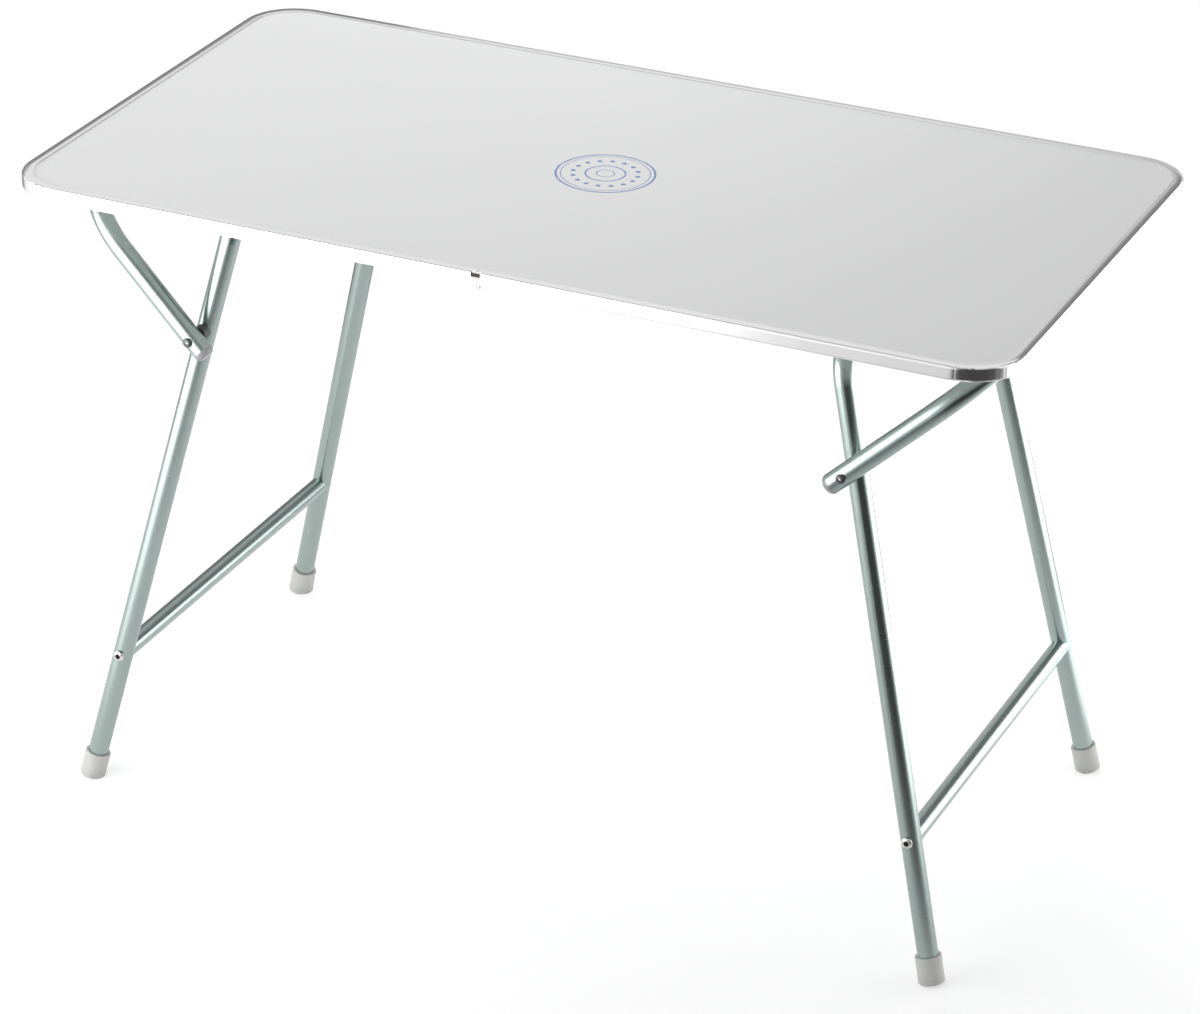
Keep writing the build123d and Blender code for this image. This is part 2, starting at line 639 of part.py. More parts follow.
for side_name, side in SIDES.items():
    with BuildPart() as brace:
        tail_v = -BRACE_TAIL * cos(radians(LEG_SPLAY))
        tail_u = arm_y - tail_v * splay_slope
        bent_tube(
            brace_plane(side),
            [
                (-tail_u, tail_v),
                (-cross_y, arm_length),
                (cross_y, arm_length),
                (tail_u, tail_v),
            ],
            BRACE_BEND_RADIUS,
            brace_radius,
        )
        for end in ENDS.values():
            rivet_hole = across(side * pivot_x, end * arm_y, BRACE_PIVOT_HEIGHT, end)
            cylinder_on(rivet_hole, rivet_radius + RIVET_CLEARANCE, BRACE_DIAMETER, Mode.SUBTRACT, both=True)
    write_piece(brace.part, f"{side_name}_brace")

    plug_depth = BRACE_TAIL - rivet_radius - END_PLUG_RIVET_GAP
    for end_name, end in ENDS.items():
        axis = arm_axis(side, end)
        tube_end = Vector(side * pivot_x, end * arm_y, BRACE_PIVOT_HEIGHT) - axis * BRACE_TAIL
        with BuildPart() as end_plug:
            outwards = Plane(origin=tube_end, z_dir=-axis)
            cylinder_on(outwards, brace_radius, END_PLUG_DOME)
            crown = end_plug.edges().filter_by(GeomType.CIRCLE).sort_by(Axis(tube_end, -axis))[-1]
            fillet(crown, radius=END_PLUG_ROUNDING)
            cylinder_on(outwards, brace_radius - TUBE_WALL - PLUG_GAP, -plug_depth)
        write_piece(end_plug.part, f"{side_name}_brace_{end_name}_plug")
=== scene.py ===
"""Looks of the folding camping table: finishes, small trim pieces, studio and camera."""

import json
from math import cos, pi, radians, sin

import bmesh
import bpy
from mathutils import Matrix, Vector


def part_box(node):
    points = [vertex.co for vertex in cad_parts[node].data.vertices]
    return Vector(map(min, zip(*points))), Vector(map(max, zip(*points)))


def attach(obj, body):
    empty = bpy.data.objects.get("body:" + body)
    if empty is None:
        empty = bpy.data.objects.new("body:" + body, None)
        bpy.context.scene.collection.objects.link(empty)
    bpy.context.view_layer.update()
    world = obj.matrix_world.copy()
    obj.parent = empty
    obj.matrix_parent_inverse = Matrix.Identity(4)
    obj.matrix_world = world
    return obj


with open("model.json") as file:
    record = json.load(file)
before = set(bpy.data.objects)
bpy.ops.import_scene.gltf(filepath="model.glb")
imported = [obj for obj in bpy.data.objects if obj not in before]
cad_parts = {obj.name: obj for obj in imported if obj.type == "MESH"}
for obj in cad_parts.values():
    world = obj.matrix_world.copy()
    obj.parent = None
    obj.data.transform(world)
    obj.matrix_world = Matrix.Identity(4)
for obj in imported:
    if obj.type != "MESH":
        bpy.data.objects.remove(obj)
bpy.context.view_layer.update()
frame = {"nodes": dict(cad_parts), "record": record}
nodes = frame["nodes"]

# ---------------------------------------------------------------- shader maths


class Field:
    """A node's output that varies over a surface. Arithmetic on single values adds Math nodes."""

    def __init__(self, finish, socket):
        self.finish = finish
        self.socket = socket

    def math(self, operation, *values):
        return self.finish.node("ShaderNodeMath", {"operation": operation}, *values)

    def __add__(self, other):
        return self.math("ADD", self, other)

    def __radd__(self, other):
        return self.math("ADD", other, self)

    def __sub__(self, other):
        return self.math("SUBTRACT", self, other)

    def __rsub__(self, other):
        return self.math("SUBTRACT", other, self)

    def __mul__(self, other):
        return self.math("MULTIPLY", self, other)

    def __rmul__(self, other):
        return self.math("MULTIPLY", other, self)

    def __pow__(self, other):
        return self.math("POWER", self, other)

    def __abs__(self):
        return self.math("ABSOLUTE", self)

    def at_least(self, other):
        return self.math("MAXIMUM", self, other)


class Finish:
    """One procedural material, written as expressions on fields."""

    last_node = "ShaderNodeOutputMaterial"

    def __init__(self, name):
        self.material = bpy.data.materials.new(name)
        self.material.use_nodes = True
        self.tree = self.material.node_tree
        self.tree.nodes.clear()

    def node(self, kind, settings=None, *values, output=0, **named):
        """Add a node: its settings first, then its sockets in order or by name."""
        node = self.tree.nodes.new(kind)
        for key, value in (settings or {}).items():
            setattr(node, key, value)
        sockets = [socket for socket in node.inputs if socket.enabled]
        for socket, value in zip(sockets, values):
            self.feed(socket, value)
        for label, value in named.items():
            wanted = label.replace("_", " ")
            self.feed(next(s for s in sockets if s.name == wanted), value)
        outputs = [socket for socket in node.outputs if socket.enabled]
        found = outputs[output] if isinstance(output, int) else node.outputs[output]
        return Field(self, found)

    def feed(self, socket, value):
        if isinstance(value, Field):
            self.tree.links.new(value.socket, socket)
        elif value is not None:
            if socket.type == "RGBA" and len(value) == 3:
                value = (*value, 1.0)
            socket.default_value = value

    # Places on a piece

    def place(self):
        return self.node("ShaderNodeTexCoord", output="Object")

    def split(self, vector):
        parts = self.node("ShaderNodeSeparateXYZ", {}, vector).socket.node.outputs
        return [Field(self, part) for part in parts]

    def join(self, x, y, z):
        return self.node("ShaderNodeCombineXYZ", {}, x, y, z)

    def grey(self, shade):
        return self.join(shade, shade, shade)

    def stretched(self, vector, factors):
        return self.node("ShaderNodeVectorMath", {"operation": "MULTIPLY"}, vector, factors)

    def distance(self, aside, ahead):
        return (aside * aside + ahead * ahead) ** 0.5

    # Kinds of light path

    def followed(self, kind):
        return self.node("ShaderNodeLightPath", output=f"Is {kind} Ray")

    def shown(self):
        """Whether this is seen straight, in a mirror or through a clear piece."""
        straight = self.followed("Camera")
        return straight.at_least(self.followed("Glossy")).at_least(self.followed("Transmission"))

    # Patterns

    def noise(self, vector, scale, detail=3.0, roughness=0.5):
        return self.node(
            "ShaderNodeTexNoise", {}, Vector=vector, Scale=scale, Detail=detail, Roughness=roughness
        )

    def cells(self, vector, scale):
        return self.node("ShaderNodeTexVoronoi", {}, Vector=vector, Scale=scale, output="Distance")

    def smooth(self, value, low, high, to_low=0.0, to_high=1.0):
        settings = {"interpolation_type": "SMOOTHSTEP"}
        return self.node("ShaderNodeMapRange", settings, value, low, high, to_low, to_high)

    def mix(self, factor, first, second):
        settings = {"data_type": "RGBA", "blend_type": "MIX"}
        return self.node("ShaderNodeMix", settings, factor, first, second)

    def tint(self, colour, shade):
        """A colour made lighter or darker by a single value."""
        settings = {"data_type": "RGBA", "blend_type": "MULTIPLY"}
        return self.node("ShaderNodeMix", settings, 1.0, colour, self.grey(shade))

    def bump(self, height, distance, strength=1.0, below=None):
        return self.node(
            "ShaderNodeBump", {}, Strength=strength, Distance=distance, Height=height, Normal=below
        )

    def surface(self, **sockets):
        """Finish the material with its shader. Underscores stand for spaces in socket names."""
        shader = self.node("ShaderNodeBsdfPrincipled", {}, **sockets)
        self.output(shader)
        return self.material

    def output(self, shader):
        node = self.tree.nodes.new(self.last_node)
        self.tree.links.new(shader.socket, node.inputs["Surface"])


# ---------------------------------------------------------------- finishes

LAMINATE = (0.745, 0.745, 0.75)
INK = (0.060, 0.17, 0.46)
# Dark seal on the sawn board edges, and painted shade in the hollow of the crossbar screw heads
SEAL_AND_RECESS_SHADE = (0.035, 0.028, 0.022)
PLATE = (0.325, 0.385, 0.368)
DULL_STEEL = (0.115, 0.122, 0.122)
ALUMINIUM = (0.91, 0.91, 0.91)
ZINC = (0.66, 0.67, 0.66)
CAP = (0.46, 0.465, 0.445)
END_PLUG = (0.27, 0.275, 0.285)
CLIP = (0.80, 0.80, 0.785)
FITTING = (0.055, 0.057, 0.06)
FOIL = (0.80, 0.80, 0.79)
BOARD = (0.36, 0.25, 0.15)

ORNAMENT_RINGS = ((0.052, 0.0012), (0.047, 0.0005), (0.021, 0.0010), (0.0095, 0.0006))
DOT_RING = 0.0345
DOT_COUNT = 16
DOT_RADIUS = 0.0028

EDGE_CORNER = 0.06
CUT_EDGE = 0.0008
CLIP_GROOVE = 0.0022
LIP_CROWN_START = 0.0085
LIP_CROWN_SLOPE = 0.72
RECESS_RADIUS = 0.0030
BAR_SCREW_HEAD_RADIUS = 0.006
SCUFF_HEIGHT = 0.018

board_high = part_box("board_core")[1]
edge_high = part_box("edge_profile")[1]
clip_low, clip_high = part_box("edge_joint_clip")
bar_screw_low, bar_screw_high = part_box("right_crossbar_screws")


def ornament(finish, x, y):
    """Mask of the printed ornament: plain rings and a ring of dots round the middle."""
    radius = finish.distance(x, y)
    turn = finish.node("ShaderNodeMath", {"operation": "ARCTAN2"}, y, x) * (DOT_COUNT / (2 * pi))
    part = finish.node("ShaderNodeMath", {"operation": "FRACT"}, turn) - 0.5
    from_dot = finish.distance(part * (2 * pi * DOT_RING / DOT_COUNT), radius - DOT_RING)
    mask = 1 - finish.smooth(from_dot, DOT_RADIUS * 0.85, DOT_RADIUS * 1.1)
    for ring, half_width in ORNAMENT_RINGS:
        line = 1 - finish.smooth(abs(radius - ring), half_width * 0.75, half_width * 1.25)
        mask = mask.at_least(line)
    return mask


def cut_edge(finish, x, y):
    """Mask of the sawn edge all round the board, which is sealed dark."""
    by_length = finish.smooth(abs(x), board_high.x - CUT_EDGE, board_high.x - CUT_EDGE / 2)
    by_depth = finish.smooth(abs(y), board_high.y - CUT_EDGE, board_high.y - CUT_EDGE / 2)
    return by_length.at_least(by_depth)


def laminate_finish():
    """Pale grey laminate: fine pebble, faint clouding, light scuffs and a printed ornament."""
    finish = Finish("laminate")
    place = finish.place()
    x, y = finish.split(place)[:2]
    clouds = finish.noise(place, 5.0, 4.0, 0.55)
    specks = finish.smooth(finish.noise(place, 900.0, 2.0, 0.6), 0.60, 0.75)
    pebble = finish.noise(place, 620.0, 3.0, 0.55)
    streaks = finish.noise(finish.stretched(place, (9.0, 95.0, 1.0)), 1.0, 5.0, 0.7)
    scuffs = finish.smooth(streaks, 0.62, 0.74)
    wear = finish.smooth(finish.noise(place, 2.6, 3.0), 0.45, 0.7)
    shade = 0.985 + clouds * 0.03 - specks * 0.02 - scuffs * wear * 0.012
    grey = finish.tint(LAMINATE, shade)
    ink_wear = finish.smooth(finish.noise(place, 420.0, 3.0, 0.6), 0.30, 0.42)
    ink = ornament(finish, x, y) * ink_wear * 0.88
    printed = finish.mix(ink, grey, INK)
    colour = finish.mix(cut_edge(finish, x, y), printed, SEAL_AND_RECESS_SHADE)
    roughness = 0.40 + clouds * 0.08 - scuffs * wear * 0.10
    normal = finish.bump(pebble, 0.00003, 0.5)
    return finish.surface(Base_Color=colour, Roughness=roughness, Normal=normal)


def foil_finish():
    """Backing foil under the board: paper fibres, clouding and rubbed patches."""
    finish = Finish("backing")
    place = finish.place()
    clouds = finish.noise(place, 7.0, 4.0, 0.6)
    fibres = finish.noise(finish.stretched(place, (90.0, 420.0, 1.0)), 1.0, 4.0, 0.6)
    rubbed = finish.smooth(finish.noise(place, 3.1, 4.0, 0.65), 0.55, 0.72)
    colour = finish.tint(FOIL, 0.96 + clouds * 0.05 + fibres * 0.04 - rubbed * 0.05)
    roughness = 0.55 + clouds * 0.1 - rubbed * 0.1
    normal = finish.bump(fibres, 0.00005, 0.5)
    return finish.surface(Base_Color=colour, Roughness=roughness, Normal=normal)


def board_finish():
    """Pressed fibre board: chips of three browns, sealed dark where it is sawn."""
    finish = Finish("board_core")
    place = finish.place()
    x, y = finish.split(place)[:2]
    chips = finish.cells(finish.stretched(place, (260.0, 420.0, 900.0)), 1.0)
    dust = finish.noise(place, 700.0, 4.0, 0.7)
    chipped = finish.mix(chips, finish.tint(BOARD, 0.75 + dust * 0.5), (0.22, 0.14, 0.08))
    colour = finish.mix(cut_edge(finish, x, y) * (0.85 + dust * 0.15), chipped, SEAL_AND_RECESS_SHADE)
    normal = finish.bump(dust, 0.0002, 0.6)
    return finish.surface(Base_Color=colour, Roughness=0.8 + dust * 0.1, Normal=normal)


def aluminium_finish():
    """Extruded aluminium edge: a crowned lip, draw lines along it, small nicks and haze."""
    finish = Finish("edge_aluminium")
    place = finish.place()
    x, y, z = finish.split(place)
    past_x = (abs(x) - (edge_high.x - EDGE_CORNER)).at_least(0.0)
    past_y = (abs(y) - (edge_high.y - EDGE_CORNER)).at_least(0.0)
    outward = finish.distance(past_x, past_y)
    crowned = (outward - (EDGE_CORNER - LIP_CROWN_START)).at_least(0.0)
    crown = crowned * crowned * (-0.5 * LIP_CROWN_SLOPE / LIP_CROWN_START)
    lines = finish.noise(finish.join(outward * 1600.0, z * 1600.0, (x + y) * 5.0), 1.0, 5.0, 0.65)
    haze = finish.noise(place, 9.0, 4.0, 0.6)
    pits = finish.noise(finish.stretched(place, (70.0, 70.0, 420.0)), 1.0, 6.0, 0.75)
    nicks = finish.smooth(pits, 0.70, 0.78)
    colour = finish.tint(ALUMINIUM, 0.92 + lines * 0.08 + haze * 0.05 - nicks * 0.16)
    roughness = 0.11 + lines * 0.07 + haze * 0.05 + nicks * 0.15
    grooves = finish.bump(lines, 0.00002, 0.6, finish.bump(crown, 1.0))
    normal = finish.bump(1 - nicks, 0.00008, 0.6, grooves)
    return finish.surface(Base_Color=colour, Metallic=1.0, Roughness=roughness, Normal=normal)


def plated_finish():
    """Bright plated tube: grey-green plate, faint clouding, water marks and fine scratches."""
    finish = Finish("plated_tube")
    place = finish.place()
    clouds = finish.noise(place, 16.0, 4.0, 0.6)
    lines = finish.noise(finish.stretched(place, (420.0, 420.0, 10.0)), 1.0, 4.0, 0.6)
    marks = finish.smooth(finish.cells(place, 85.0), 0.10, 0.02)
    marks = marks * finish.smooth(finish.noise(place, 12.0, 2.0), 0.5, 0.62)
    rubs = finish.noise(finish.stretched(place, (60.0, 60.0, 900.0)), 1.0, 5.0, 0.7)
    scratches = finish.smooth(rubs, 0.66, 0.74)
    colour = finish.tint(PLATE, 0.94 + clouds * 0.10 + lines * 0.03 - marks * 0.10)
    roughness = 0.21 + clouds * 0.06 + lines * 0.04 + marks * 0.14 + scratches * 0.10
    fine = finish.bump(lines, 0.00001, 0.5)
    normal = finish.bump(scratches, 0.00002, 0.4, fine)
    return finish.surface(Base_Color=colour, Metallic=1.0, Roughness=roughness, Normal=normal)


def steel_finish(name, steel, roughness, recess=None):
    """Screws and rivets: turned marks, clouding, and painted shade in the recess round an axis
    along Y.
    """
    finish = Finish(name)
    place = finish.place()
    clouds = finish.noise(place, 300.0, 3.0, 0.6)
    turned = finish.noise(finish.stretched(place, (900.0, 200.0, 900.0)), 1.0, 3.0)
    colour = finish.tint(steel, 0.85 + clouds * 0.2 + turned * 0.08)
    rough = roughness + clouds * 0.14
    if recess:
        x, y, z = finish.split(place)
        radius = finish.distance(abs(x) - recess.x, z - recess.y)
        # Painted shade: a dark, rougher disc round the axis stands in for the shadow in the hollow
        # of the head
        recess_shade = 1 - finish.smooth(radius, RECESS_RADIUS * 0.8, RECESS_RADIUS * 1.15)
        colour = finish.mix(recess_shade, colour, SEAL_AND_RECESS_SHADE)
        rough = rough + recess_shade * 0.25
    normal = finish.bump(turned, 0.00002, 0.5)
    return finish.surface(Base_Color=colour, Metallic=1.0, Roughness=rough, Normal=normal)


def plastic_finish(name, colour, roughness, scuff_height=None):
    """Moulded plastic: fine spark grain, slight clouding, and scuffs near the floor."""
    finish = Finish(name)
    place = finish.place()
    clouds = finish.noise(place, 40.0, 4.0, 0.6)
    grains = finish.noise(place, 1500.0, 2.0, 0.6)
    shade = 0.94 + clouds * 0.10
    rough = roughness + clouds * 0.12 + grains * 0.05
    if scuff_height:
        z = finish.split(place)[2]
        rubs = finish.noise(finish.stretched(place, (300.0, 300.0, 900.0)), 1.0, 5.0, 0.7)
        scuffs = finish.smooth(rubs, 0.45, 0.62) * finish.smooth(z, scuff_height, 0.0)
        shade = shade - scuffs * 0.30
        rough = rough + scuffs * 0.15
    normal = finish.bump(grains, 0.00004, 0.5)
    return finish.surface(Base_Color=finish.tint(colour, shade), Roughness=rough, Normal=normal)


def clip_finish():
    """White clip over the joint of the edge, with two moulded grooves that are painted darker as
    shade.
    """
    finish = Finish("clip_plastic")
    place = finish.place()
    x = finish.split(place)[0]
    clouds = finish.noise(place, 60.0, 4.0, 0.6)
    grains = finish.noise(place, 1500.0, 2.0, 0.6)
    from_groove = abs(abs(x - (clip_low.x + clip_high.x) / 2) - CLIP_GROOVE)
    grooves = 1 - finish.smooth(from_groove, 0.0002, 0.0006)
    # Painted shade: the colour is darker along the two grooves
    shade = 0.95 + clouds * 0.08 - grooves * 0.22
    ridges = finish.bump(1 - grooves, 0.0002, 0.6)
    return finish.surface(
        Base_Color=finish.tint(CLIP, shade),
        Roughness=0.30 + clouds * 0.12,
        Normal=finish.bump(grains, 0.00003, 0.5, ridges),
    )


bar_screw_axis = Vector(
    (bar_screw_high.x - BAR_SCREW_HEAD_RADIUS, (bar_screw_low.z + bar_screw_high.z) / 2)
)
FINISHES = {
    "laminate": laminate_finish(),
    "backing": foil_finish(),
    "board_core": board_finish(),
    "edge_aluminium": aluminium_finish(),
    "plated_tube": plated_finish(),
    "fastener_steel": steel_finish("fastener_steel", ZINC, 0.22),
    "rivet_steel": steel_finish("rivet_steel", DULL_STEEL, 0.30),
    "clip_plastic": clip_finish(),
    "cap_plastic": plastic_finish("cap_plastic", CAP, 0.30, scuff_height=SCUFF_HEIGHT),
    "end_plug_plastic": plastic_finish("end_plug_plastic", END_PLUG, 0.16),
    "fitting_plastic": plastic_finish("fitting_plastic", FITTING, 0.42),
}
# The crossbar screws carry painted shade in the hollow of their heads
BAR_SCREW = steel_finish("bar_screw", ZINC, 0.20, recess=bar_screw_axis)

for row in frame["record"]["subparts"]:
    node = nodes[row["node"]]
    node.data.materials.clear()
    if row["node"].endswith("_crossbar_screws"):
        node.data.materials.append(BAR_SCREW)
    else:
        node.data.materials.append(FINISHES[row["material_slot"]])

# ---------------------------------------------------------------- rivet stems

STEM_RADIUS = 0.00172
STEM_LENGTH = 0.0024
STEM_INSET = 0.0002
STEM_STEPS = 5
STEM_SIDES = 24
STEM_DOME = radians(80.0)
STEM_DOME_SHARE = 0.5


def add_stem(mesh, centre, outward):
    """One broken-off rivet stem: a short pin with a domed end, added to a bmesh."""
    rings = []
    profile = [(STEM_RADIUS, -STEM_LENGTH)]
    for step in range(STEM_STEPS):
        bend = STEM_DOME * step / (STEM_STEPS - 1)
        profile.append((STEM_RADIUS * cos(bend), STEM_RADIUS * STEM_DOME_SHARE * (sin(bend) - 1)))
    for radius, reach in profile:
        ring = []
        for side in range(STEM_SIDES):
            turn = 2 * pi * side / STEM_SIDES
            spoke = Vector((radius * cos(turn), outward * reach, radius * sin(turn)))
            ring.append(mesh.verts.new(centre + spoke))
        rings.append(ring)
    for lower, upper in zip(rings, rings[1:]):
        for side in range(STEM_SIDES):
            other = (side + 1) % STEM_SIDES
            mesh.faces.new((lower[side], lower[other], upper[other], upper[side]))
    mesh.faces.new(rings[-1])
    mesh.faces.new(reversed(rings[0]))


for side_name in ("left", "right"):
    low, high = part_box(f"{side_name}_brace_rivets")
    axis_x = (low.x + high.x) / 2
    axis_z = (low.z + high.z) / 2
    stem_mesh = bmesh.new()
    for outward in (-1, 1):
        head_y = outward * (high.y - STEM_INSET)
        add_stem(stem_mesh, Vector((axis_x, head_y, axis_z)), outward)
    bmesh.ops.recalc_face_normals(stem_mesh, faces=stem_mesh.faces)
    data = bpy.data.meshes.new(f"{side_name}_rivet_stems")
    stem_mesh.to_mesh(data)
    stem_mesh.free()
    data.shade_smooth()
    data.materials.append(FINISHES["fastener_steel"])
    stems = bpy.data.objects.new(f"{side_name}_rivet_stems", data)
    bpy.context.scene.collection.objects.link(stems)
    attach(stems, f"{side_name}_legs")

# ---------------------------------------------------------------- studio

FLOOR_HALF = 14.0
FLOOR_SHADE = 0.90
FLOOR_NEAR = 0.75
FLOOR_FAR = 1.9
FLOOR_GLOW = 0.44
FLOOR_LIT = 0.62

SKY_LIGHT = 0.5
SKY_SEEN = 1.0
SKY_MIRRORED = 0.85
LAMP_POWER = 4.0  # watts for each square metre of a face of brightness 1

# The studio is dark towards the front right: places are given along and across that way
DARK_AZIMUTH = radians(30.0)
SCREEN_DISTANCE = 2.6
SCREEN_LEFT = -1.3
SCREEN_RIGHT = 2.4
SCREEN_HEIGHT = 3.2
CLOTH_START = 0.35
CLOTH_HEIGHT = 0.004
POOL_HEIGHT = 0.002
POOL_CENTRE = (-1.15, -1.05, POOL_HEIGHT)

WAYS = {
    "rightward": (1.0, 0.0, 0.0),
    "rearward": (0.0, 1.0, 0.0),
    "upward": (0.0, 0.0, 1.0),
    "along": (sin(DARK_AZIMUTH), -cos(DARK_AZIMUTH), 0.0),
    "across": (cos(DARK_AZIMUTH), sin(DARK_AZIMUTH), 0.0),
    "past_right_box": (0.3, 0.95, 0.0),
}


def around(azimuth, distance, height):
    """A point of the studio: azimuth is measured from the front towards the right."""
    turn = radians(azimuth)
    return Vector((distance * sin(turn), -distance * cos(turn), height))


def along_and_across(along, across, height):
    """A point of the studio, given along and across the dark way."""
    return Vector(WAYS["along"]) * along + Vector(WAYS["across"]) * across + Vector((0, 0, height))


def on_floor(left, front, right, rear, height):
    """The corners of a level sheet."""
    return (
        (left, front, height),
        (right, front, height),
        (right, rear, height),
        (left, rear, height),
    )


def plane_piece(name, corners, material, mirrored_only=False):
    """A flat four-cornered sheet for the studio."""
    mesh = bpy.data.meshes.new(name)
    mesh.from_pydata([tuple(corner) for corner in corners], [], [(0, 1, 2, 3)])
    mesh.materials.append(material)
    piece = bpy.data.objects.new(name, mesh)
    bpy.context.scene.collection.objects.link(piece)
    if mirrored_only:
        piece.visible_camera = False
        piece.visible_diffuse = False
        piece.visible_shadow = False
        piece.visible_transmission = False


def floor_finish():
    """White studio floor that still takes the table's shadow and is clear from below."""
    finish = Finish("studio_floor")
    shown = finish.shown()
    x, y = finish.split(finish.place())[:2]
    distance = finish.distance(x, y)
    share = finish.smooth(distance, FLOOR_NEAR, FLOOR_FAR, FLOOR_LIT, 0.0)
    bright_share = finish.smooth(distance, FLOOR_NEAR, FLOOR_FAR, FLOOR_GLOW, 1.0)
    lit = finish.node("ShaderNodeBsdfDiffuse", {}, Color=(FLOOR_SHADE, FLOOR_SHADE, FLOOR_SHADE))
    pale = finish.node("ShaderNodeBsdfDiffuse", {}, Color=finish.grey(share))
    glow = finish.node("ShaderNodeEmission", {}, Color=finish.grey(bright_share), Strength=1.0)
    bright = finish.node("ShaderNodeAddShader", {}, pale, glow)
    top_side = finish.node("ShaderNodeMixShader", {}, shown, lit, bright)
    from_below = finish.node("ShaderNodeNewGeometry", output="Backfacing")
    clear = finish.node("ShaderNodeBsdfTransparent", {}, Color=(1.0, 1.0, 1.0))
    finish.output(finish.node("ShaderNodeMixShader", {}, from_below, top_side, clear))
    return finish.material


def ramp(way, start, end, at_start=0.0, at_end=1.0):
    """A value that changes smoothly along one way of the studio."""

    def value(finish):
        settings = {"operation": "DOT_PRODUCT"}
        reach = finish.node("ShaderNodeVectorMath", settings, finish.place(), WAYS[way])
        return finish.smooth(reach, start, end, at_start, at_end)

    return value


def pool(centre, outer, inner):
    """A share that is whole near a point and fades out round it."""

    def share(finish):
        settings = {"operation": "DISTANCE"}
        reach = finish.node("ShaderNodeVectorMath", settings, finish.place(), centre)
        return finish.smooth(reach, outer, inner)

    return share


def card_finish(name, shade, *covers):
    """A card that metal mirrors: its brightness, and how far it covers what lies behind it."""
    finish = Finish(name)
    if isinstance(shade, float):
        face = finish.node("ShaderNodeEmission", {}, Color=(1.0, 1.0, 1.0), Strength=shade)
    else:
        colour = finish.grey(shade(finish))
        face = finish.node("ShaderNodeEmission", {}, Color=colour, Strength=1.0)
    if covers:
        cover = 1.0
        for share in covers:
            cover = cover * share(finish)
        clear = finish.node("ShaderNodeBsdfTransparent", {}, Color=(1.0, 1.0, 1.0))
        face = finish.node("ShaderNodeMixShader", {}, cover, clear, face)
    finish.output(face)
    return finish.material


plane_piece(
    "studio_floor",
    on_floor(-FLOOR_HALF, -FLOOR_HALF, FLOOR_HALF, FLOOR_HALF, 0.0),
    floor_finish(),
)

# The cards are there for the metal to mirror: a dark cloth and screen towards the front
# right, pools of light on the floor, and dark gaps beyond the soft boxes, which draw the
# outlines of the edge and the tubes
DARK_GAP = card_finish("dark_gap", ramp("upward", 1.0, 3.0, 0.32, 0.42))
CARDS = {
    "front_cloth": (
        (
            along_and_across(CLOTH_START, SCREEN_LEFT, CLOTH_HEIGHT),
            along_and_across(CLOTH_START, SCREEN_RIGHT, CLOTH_HEIGHT),
            along_and_across(SCREEN_DISTANCE, SCREEN_RIGHT, CLOTH_HEIGHT),
            along_and_across(SCREEN_DISTANCE, SCREEN_LEFT, CLOTH_HEIGHT),
        ),
        card_finish(
            "front_cloth",
            ramp("along", 1.0, 1.8, 0.42, 0.05),
            ramp("along", 0.40, 1.15),
            ramp("across", -1.25, -0.50),
        ),
    ),
    "front_screen": (
        (
            along_and_across(SCREEN_DISTANCE, SCREEN_LEFT, 0.0),
            along_and_across(SCREEN_DISTANCE, SCREEN_RIGHT, 0.0),
            along_and_across(SCREEN_DISTANCE, SCREEN_RIGHT, SCREEN_HEIGHT),
            along_and_across(SCREEN_DISTANCE, SCREEN_LEFT, SCREEN_HEIGHT),
        ),
        card_finish(
            "front_screen",
            ramp("upward", 0.70, 1.20, 0.05, 0.60),
            ramp("across", -1.25, -0.50),
        ),
    ),
    "left_pool": (
        on_floor(-2.0, -1.9, -0.1, 0.0, POOL_HEIGHT),
        card_finish(
            "left_pool", 2.3, pool(POOL_CENTRE, 0.74, 0.36), ramp("rearward", -1.50, -1.36)
        ),
    ),
    "right_pool": (
        on_floor(0.05, -0.6, 2.4, 2.2, POOL_HEIGHT),
        card_finish(
            "right_pool", 2.4, ramp("past_right_box", 0.42, 0.72), ramp("rightward", 0.05, 0.55)
        ),
    ),
    "right_gap": (
        ((1.75, 1.55, 0.95), (-0.55, 2.34, 0.95), (-0.60, 2.14, 2.30), (1.70, 1.35, 2.30)),
        card_finish("right_gap", ramp("rightward", -0.50, 0.60, 0.78, 0.24)),
    ),
    "front_strip": (
        on_floor(-1.5, -2.2, 0.3, -1.4, CLOTH_HEIGHT),
        card_finish(
            "front_strip", ramp("rightward", -1.2, 0.2, 0.66, 0.80), ramp("rearward", -1.44, -1.52)
        ),
    ),
    "rear_floor_gap": (
        on_floor(-0.5, 0.6, 1.1, 1.6, CLOTH_HEIGHT),
        card_finish(
            "rear_floor_gap",
            ramp("rightward", 0.0, 0.6, 0.20, 0.30),
            ramp("rightward", 1.06, 0.84),
            ramp("rightward", -0.50, 0.0),
            ramp("rearward", 0.62, 0.84),
        ),
    ),
    "right_upper_gap": (
        (around(92, 2.4, 1.3), around(138, 2.4, 1.3), around(138, 1.9, 3.0), around(92, 1.9, 3.0)),
        DARK_GAP,
    ),
    "front_upper_gap": (
        (around(-80, 2.4, 1.6), around(25, 2.4, 1.6), around(25, 1.3, 2.9), around(-80, 1.3, 2.9)),
        DARK_GAP,
    ),
    "left_gap": (
        (
            around(-102, 2.2, 0.0),
            around(-150, 2.2, 0.0),
            around(-150, 2.2, 1.25),
            around(-102, 2.2, 1.25),
        ),
        DARK_GAP,
    ),
    "left_floor_gap": (
        (
            around(-98, 1.7, CLOTH_HEIGHT),
            around(-150, 1.5, CLOTH_HEIGHT),
            around(-150, 2.3, CLOTH_HEIGHT),
            around(-102, 2.3, CLOTH_HEIGHT),
        ),
        DARK_GAP,
    ),
}
for card_name, (card_corners, card_material) in CARDS.items():
    plane_piece(card_name, card_corners, card_material, mirrored_only=True)


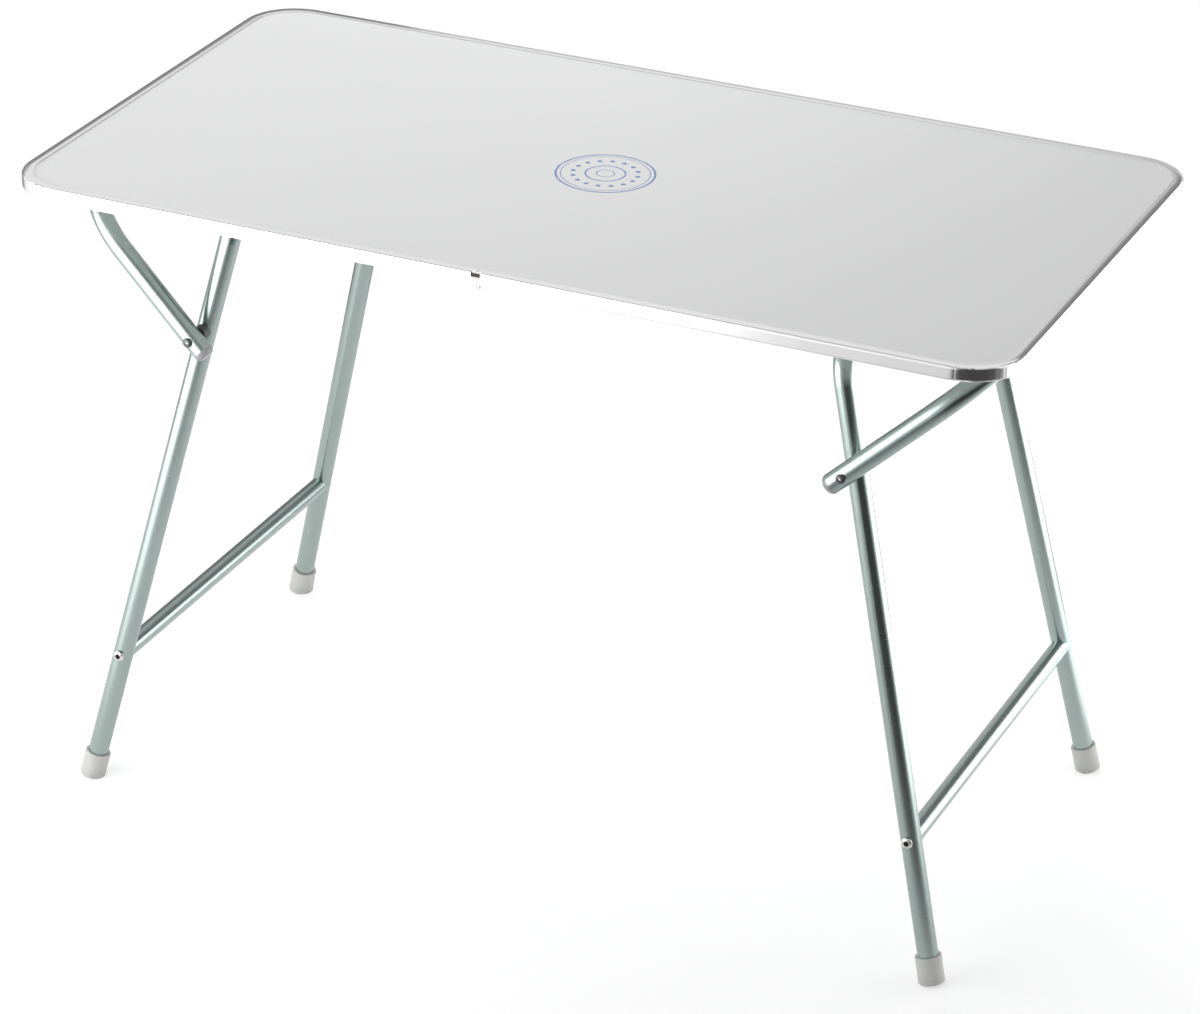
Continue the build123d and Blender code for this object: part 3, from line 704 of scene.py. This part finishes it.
def lamp(name, place, target, width, height, radiance, mirrored=True):
    """A soft box: an area lamp given by the brightness of its face."""
    light = bpy.data.lights.new(name, "AREA")
    light.shape = "RECTANGLE"
    light.size = width
    light.size_y = height
    light.energy = radiance * LAMP_POWER * width * height
    holder = bpy.data.objects.new(name, light)
    bpy.context.scene.collection.objects.link(holder)
    holder.location = place
    facing = Vector(target) - Vector(place)
    holder.rotation_euler = facing.to_track_quat("-Z", "Y").to_euler()
    holder.visible_camera = False
    holder.visible_glossy = mirrored


lamp(
    "left_soft_box",
    place=(-1.07, -1.10, 0.66),
    target=(-0.41, -0.216, 0.66),
    width=1.9,
    height=1.16,
    radiance=2.6,
)
lamp(
    "right_soft_box",
    place=(1.40, 0.80, 0.35),
    target=(0.30, 0.0, 0.35),
    width=2.2,
    height=0.68,
    radiance=2.5,
)
lamp(
    "top_soft_box",
    place=(-0.62, 0.90, 2.1),
    target=(0.0, 0.0, 0.7),
    width=1.6,
    height=1.6,
    radiance=1.82,
    mirrored=False,
)


class Surroundings(Finish):
    """The world, written the same way as a finish."""

    last_node = "ShaderNodeOutputWorld"

    def __init__(self, name):
        world = bpy.data.worlds.new(name)
        world.use_nodes = True
        self.tree = world.node_tree
        self.tree.nodes.clear()
        bpy.context.scene.world = world


sky = Surroundings("studio")
dim = sky.node("ShaderNodeBackground", {}, Color=(0.99, 0.995, 1.0), Strength=SKY_LIGHT)
white = sky.node("ShaderNodeBackground", {}, Color=(1.0, 1.0, 1.0), Strength=SKY_SEEN)
pale = sky.node("ShaderNodeBackground", {}, Color=(1.0, 1.0, 1.0), Strength=SKY_MIRRORED)
shown_sky = sky.node("ShaderNodeMixShader", {}, sky.followed("Glossy"), white, pale)
sky.output(sky.node("ShaderNodeMixShader", {}, sky.shown(), dim, shown_sky))

# ---------------------------------------------------------------- camera

CAMERA_TARGET = Vector((0.020677, -0.043060, 0.350))
CAMERA_DISTANCE = 4.93327
CAMERA_AZIMUTH = 0.4124291825  # radians, from the front towards the right
CAMERA_ELEVATION = 0.4569524973
CAMERA_ROLL = 0.0212676250
CAMERA_LENS = 138.67
CAMERA_SENSOR = 36.0
CAMERA_REACH = 100.0

back = Vector(
    (
        sin(CAMERA_AZIMUTH) * cos(CAMERA_ELEVATION),
        -cos(CAMERA_AZIMUTH) * cos(CAMERA_ELEVATION),
        sin(CAMERA_ELEVATION),
    )
)
level = Vector((cos(CAMERA_AZIMUTH), sin(CAMERA_AZIMUTH), 0))
upright = back.cross(level)
right = level * cos(CAMERA_ROLL) + upright * sin(CAMERA_ROLL)
up = upright * cos(CAMERA_ROLL) - level * sin(CAMERA_ROLL)

camera_data = bpy.data.cameras.new("camera")
camera_data.sensor_width = CAMERA_SENSOR
camera_data.lens = CAMERA_LENS
camera_data.clip_end = CAMERA_REACH
camera = bpy.data.objects.new("camera", camera_data)
bpy.context.scene.collection.objects.link(camera)
turn = Matrix((right, up, back)).transposed().to_4x4()
camera.matrix_world = Matrix.Translation(CAMERA_TARGET + back * CAMERA_DISTANCE) @ turn
bpy.context.scene.camera = camera
bpy.context.scene.view_settings.view_transform = "Standard"
